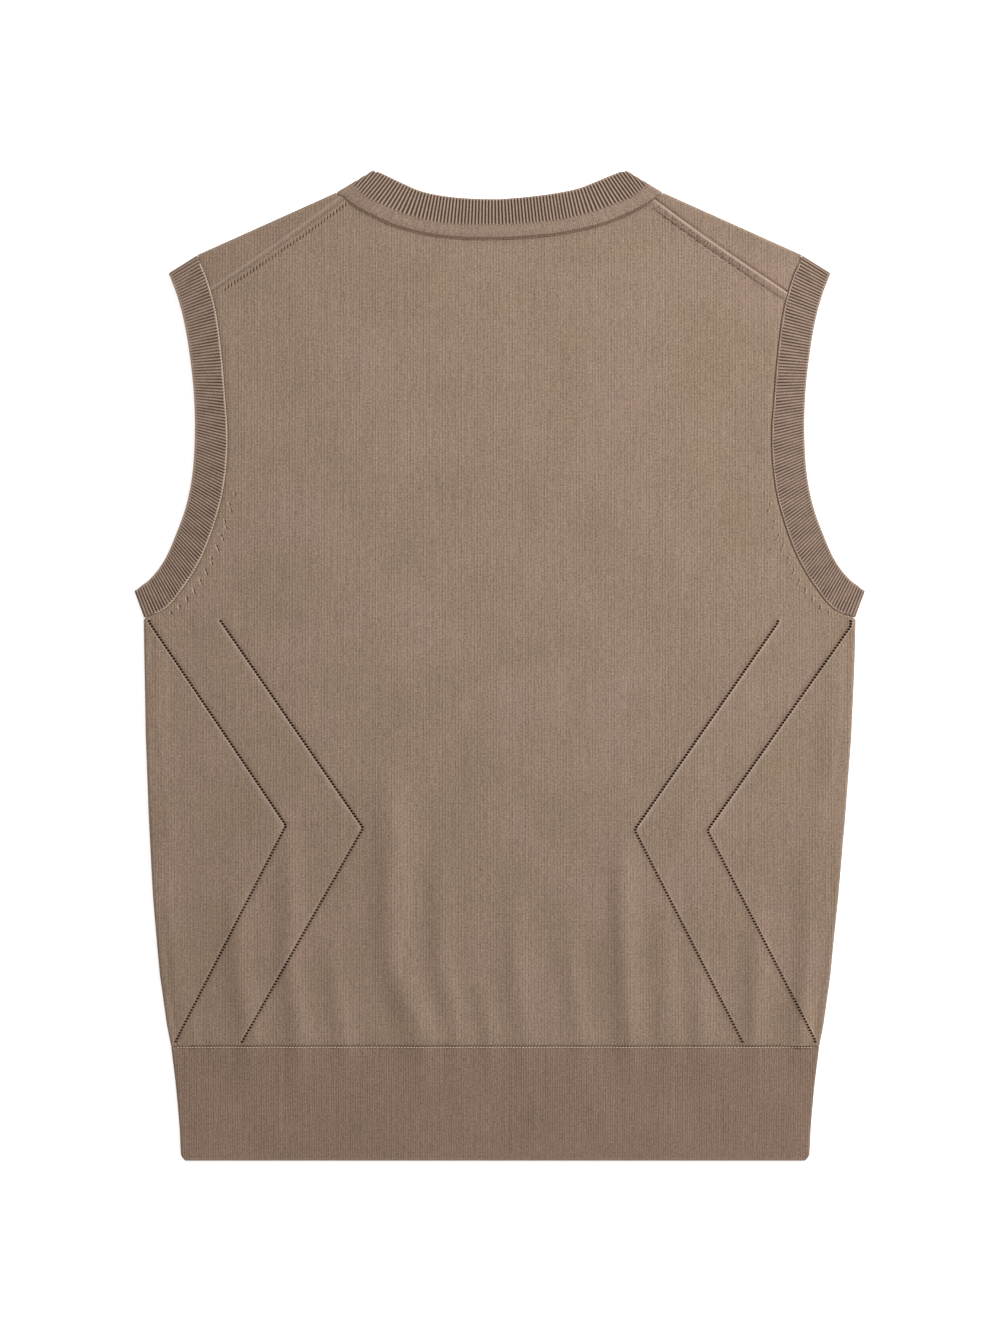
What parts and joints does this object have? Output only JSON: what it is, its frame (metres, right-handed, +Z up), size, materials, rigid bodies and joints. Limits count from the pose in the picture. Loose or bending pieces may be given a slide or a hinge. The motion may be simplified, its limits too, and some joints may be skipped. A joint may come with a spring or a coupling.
{
  "type": "knitted sweater vest",
  "caption": "Sleeveless fine-knit pullover vest laid flat with its back up, with ribbed neckband and armbands, a smooth hem welt and V-shaped eyelet lines.",
  "frame": {"origin": "centre of the bounding box's base, on the surface that the vest lies on", "axes": "+Y from the hem to the neck, +Z up off the surface, +X to the right as seen from above; the back of the vest faces up"},
  "size_m": [0.505, 0.6842, 0.0045],
  "materials": {
    "jersey": "matte fine jersey knit",
    "ribbing": "matte ribbed knit"
  },
  "bodies": {
    "root": {"back_panel": "jersey", "front_panel": "jersey", "neckband": "ribbing", "armband_left": "ribbing", "armband_right": "ribbing", "hem_band": "ribbing"}
  },
  "joints": []
}
